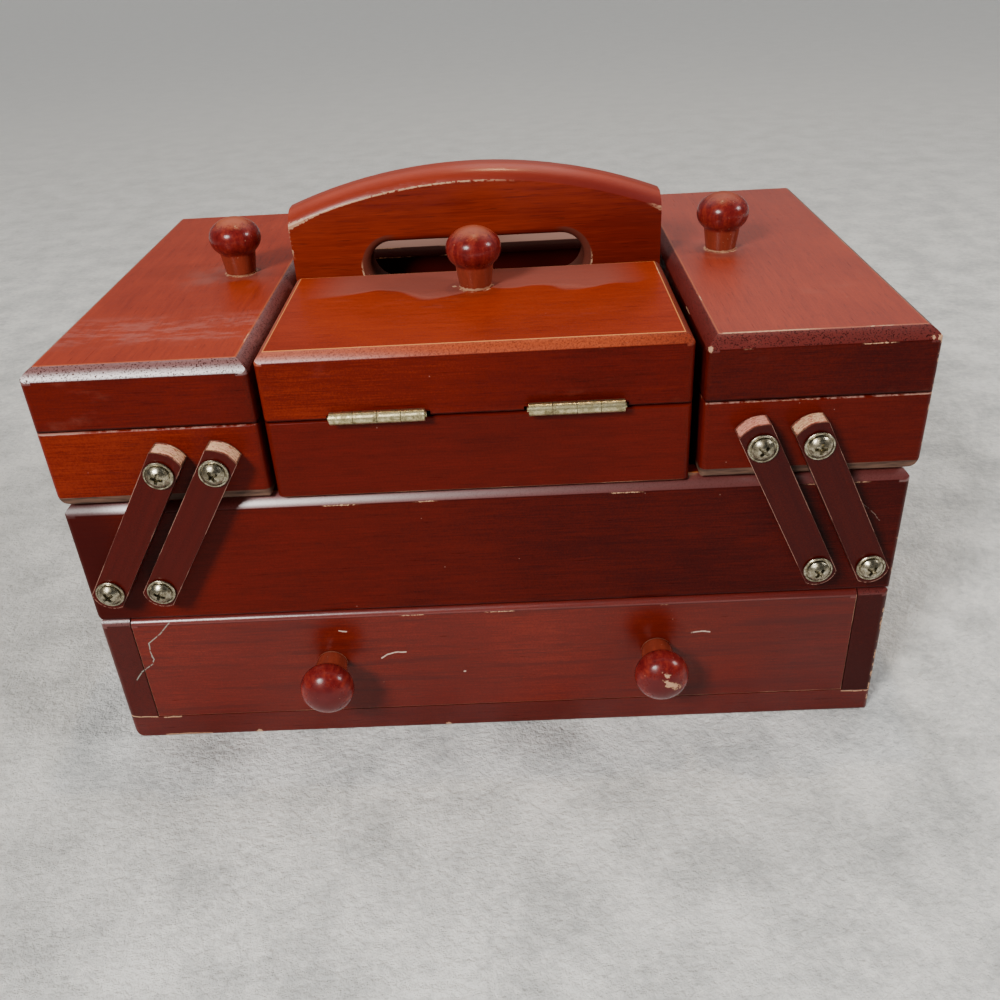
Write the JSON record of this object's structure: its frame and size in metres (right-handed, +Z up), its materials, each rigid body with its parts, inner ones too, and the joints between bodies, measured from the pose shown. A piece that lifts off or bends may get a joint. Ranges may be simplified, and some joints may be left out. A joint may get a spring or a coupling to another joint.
{
  "type": "sewing carrier",
  "caption": "Wooden sewing carrier with a drawer base, a centre compartment under a carrying handle, and lidded side trays that swing outward on parallel arms.",
  "frame": {"origin": "centre of the flat underside", "axes": "+X to the right and +Y to the back as the drawer is faced, +Z up"},
  "size_m": [0.312, 0.2238, 0.2024],
  "materials": {
    "case_lacquer": "gloss lacquer over dark red mahogany stain, worn on the edges",
    "tray_lacquer": "gloss lacquer over red mahogany stain, worn on the edges",
    "lid_lacquer": "gloss lacquer over red mahogany stain, scuffed on top",
    "arm_lacquer": "gloss lacquer over dark stain, with bare end grain",
    "knob_lacquer": "high gloss cherry lacquer on turned wood",
    "bare_wood": "plain sanded wood inside",
    "screw_nickel": "aged nickel plate",
    "hinge_brass": "antique brass plate"
  },
  "bodies": {
    "case": {"base_bottom": "case_lacquer", "base_left_side": "case_lacquer", "base_right_side": "case_lacquer", "base_back": "case_lacquer", "middle_front": "case_lacquer", "middle_back": "case_lacquer", "middle_left_side": "case_lacquer", "middle_right_side": "case_lacquer", "middle_floor": "bare_wood", "centre_front": "case_lacquer", "centre_back": "case_lacquer", "centre_left_side": "case_lacquer", "centre_right_side": "case_lacquer", "handle_board": "tray_lacquer", "case_hinge_leaves": "hinge_brass", "case_hinge_pins": "hinge_brass", "case_arm_screws": "screw_nickel"},
    "drawer": {"drawer_front": "case_lacquer", "drawer_left_side": "bare_wood", "drawer_right_side": "bare_wood", "drawer_back": "bare_wood", "drawer_bottom": "bare_wood", "drawer_knobs": "knob_lacquer"},
    "left_outer_arm_pair": {"left_outer_arms": "arm_lacquer"},
    "left_inner_arm_pair": {"left_inner_arms": "arm_lacquer"},
    "left_tray": {"left_tray_front": "tray_lacquer", "left_tray_back": "tray_lacquer", "left_tray_outer_wall": "tray_lacquer", "left_tray_inner_wall": "tray_lacquer", "left_tray_floor": "bare_wood", "left_tray_hinge_leaves": "hinge_brass", "left_tray_hinge_pins": "hinge_brass", "left_tray_screws": "screw_nickel"},
    "right_outer_arm_pair": {"right_outer_arms": "arm_lacquer"},
    "right_inner_arm_pair": {"right_inner_arms": "arm_lacquer"},
    "right_tray": {"right_tray_front": "tray_lacquer", "right_tray_back": "tray_lacquer", "right_tray_outer_wall": "tray_lacquer", "right_tray_inner_wall": "tray_lacquer", "right_tray_floor": "bare_wood", "right_tray_hinge_leaves": "hinge_brass", "right_tray_hinge_pins": "hinge_brass", "right_tray_screws": "screw_nickel"},
    "left_lid": {"left_lid_top": "lid_lacquer", "left_lid_rails": "lid_lacquer", "left_lid_hinge_leaves": "hinge_brass", "left_lid_knob": "knob_lacquer"},
    "right_lid": {"right_lid_top": "lid_lacquer", "right_lid_rails": "lid_lacquer", "right_lid_hinge_leaves": "hinge_brass", "right_lid_knob": "knob_lacquer"},
    "front_lid": {"front_lid_top": "lid_lacquer", "front_lid_rails": "lid_lacquer", "front_lid_hinge_leaves": "hinge_brass", "front_lid_knob": "knob_lacquer"},
    "rear_lid": {"rear_lid_top": "lid_lacquer", "rear_lid_rails": "lid_lacquer", "rear_lid_hinge_leaves": "hinge_brass", "rear_lid_knob": "knob_lacquer"}
  },
  "joints": [
    {"name": "drawer_slide", "type": "slide", "parent": "case", "child": "drawer", "axis": [0, -1, 0], "range_m": [0, 0.13]},
    {"name": "left_tray_swing", "type": "hinge", "parent": "case", "child": "left_outer_arm_pair", "pos_m": [-0.1375, 0, 0.079], "axis": [0, -1, 0], "range_deg": [0, 62]},
    {"name": "left_inner_swing", "type": "hinge", "parent": "case", "child": "left_inner_arm_pair", "pos_m": [-0.1187, 0, 0.079], "axis": [0, -1, 0], "range_deg": [0, 62]},
    {"name": "left_tray_level", "type": "hinge", "parent": "left_outer_arm_pair", "child": "left_tray", "pos_m": [-0.10866, 0, 0.127], "axis": [0, -1, 0], "range_deg": [-62, 0]},
    {"name": "left_lid_hinge", "type": "hinge", "parent": "left_tray", "child": "left_lid", "pos_m": [-0.153, 0, 0.1426], "axis": [0, -1, 0], "range_deg": [0, 180]},
    {"name": "right_tray_swing", "type": "hinge", "parent": "case", "child": "right_outer_arm_pair", "pos_m": [0.1375, 0, 0.07645], "axis": [0, 1, 0], "range_deg": [0, 51]},
    {"name": "right_inner_swing", "type": "hinge", "parent": "case", "child": "right_inner_arm_pair", "pos_m": [0.1187, 0, 0.07645], "axis": [0, 1, 0], "range_deg": [0, 51]},
    {"name": "right_tray_level", "type": "hinge", "parent": "right_outer_arm_pair", "child": "right_tray", "pos_m": [0.11339, 0, 0.127], "axis": [0, 1, 0], "range_deg": [-51, 0]},
    {"name": "right_lid_hinge", "type": "hinge", "parent": "right_tray", "child": "right_lid", "pos_m": [0.1546, 0, 0.1426], "axis": [0, 1, 0], "range_deg": [0, 180]},
    {"name": "front_lid_hinge", "type": "hinge", "parent": "case", "child": "front_lid", "pos_m": [0, -0.0976, 0.1426], "axis": [1, 0, 0], "range_deg": [0, 180]},
    {"name": "rear_lid_hinge", "type": "hinge", "parent": "case", "child": "rear_lid", "pos_m": [0, 0.0976, 0.1426], "axis": [-1, 0, 0], "range_deg": [0, 180]}
  ],
  "couplings": [
    {"joint": "left_inner_swing", "follows": "left_tray_swing", "ratio": 1},
    {"joint": "left_tray_level", "follows": "left_tray_swing", "ratio": -1},
    {"joint": "right_inner_swing", "follows": "right_tray_swing", "ratio": 1},
    {"joint": "right_tray_level", "follows": "right_tray_swing", "ratio": -1}
  ]
}
